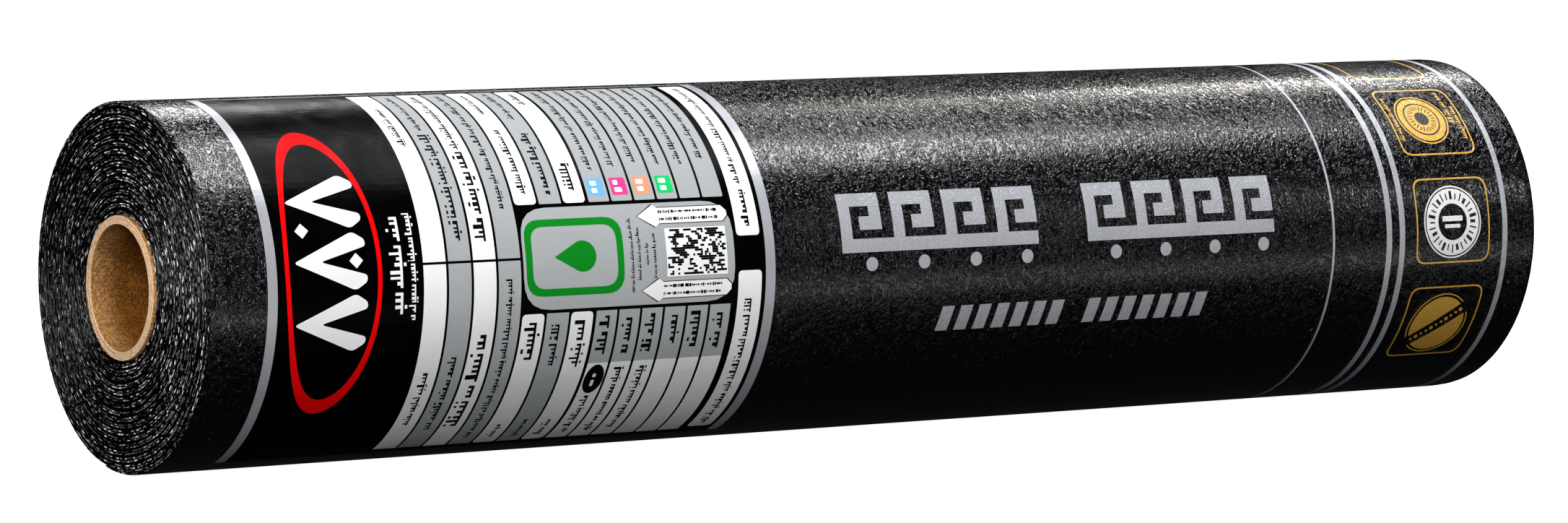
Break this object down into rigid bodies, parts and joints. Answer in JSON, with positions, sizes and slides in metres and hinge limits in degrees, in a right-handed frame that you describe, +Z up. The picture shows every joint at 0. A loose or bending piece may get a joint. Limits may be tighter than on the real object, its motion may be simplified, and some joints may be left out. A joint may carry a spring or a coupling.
{
  "type": "roll of roofing felt",
  "caption": "Tightly wound roll of black bitumen roofing felt on a cardboard core, lying on its side, with a printed film label around its front.",
  "frame": {"origin": "on the floor, under the middle of the roll", "axes": "+X along the roll's axis, away from the labelled end; -Y towards the front, where the label faces; +Z up"},
  "size_m": [1.004, 0.2232, 0.2229],
  "materials": {
    "bitumen_felt": "satin",
    "core_cardboard": "matte",
    "label_film": "satin"
  },
  "bodies": {
    "root": {"felt_roll": "bitumen_felt", "core_tube": "core_cardboard", "printed_label": "label_film"}
  },
  "joints": []
}
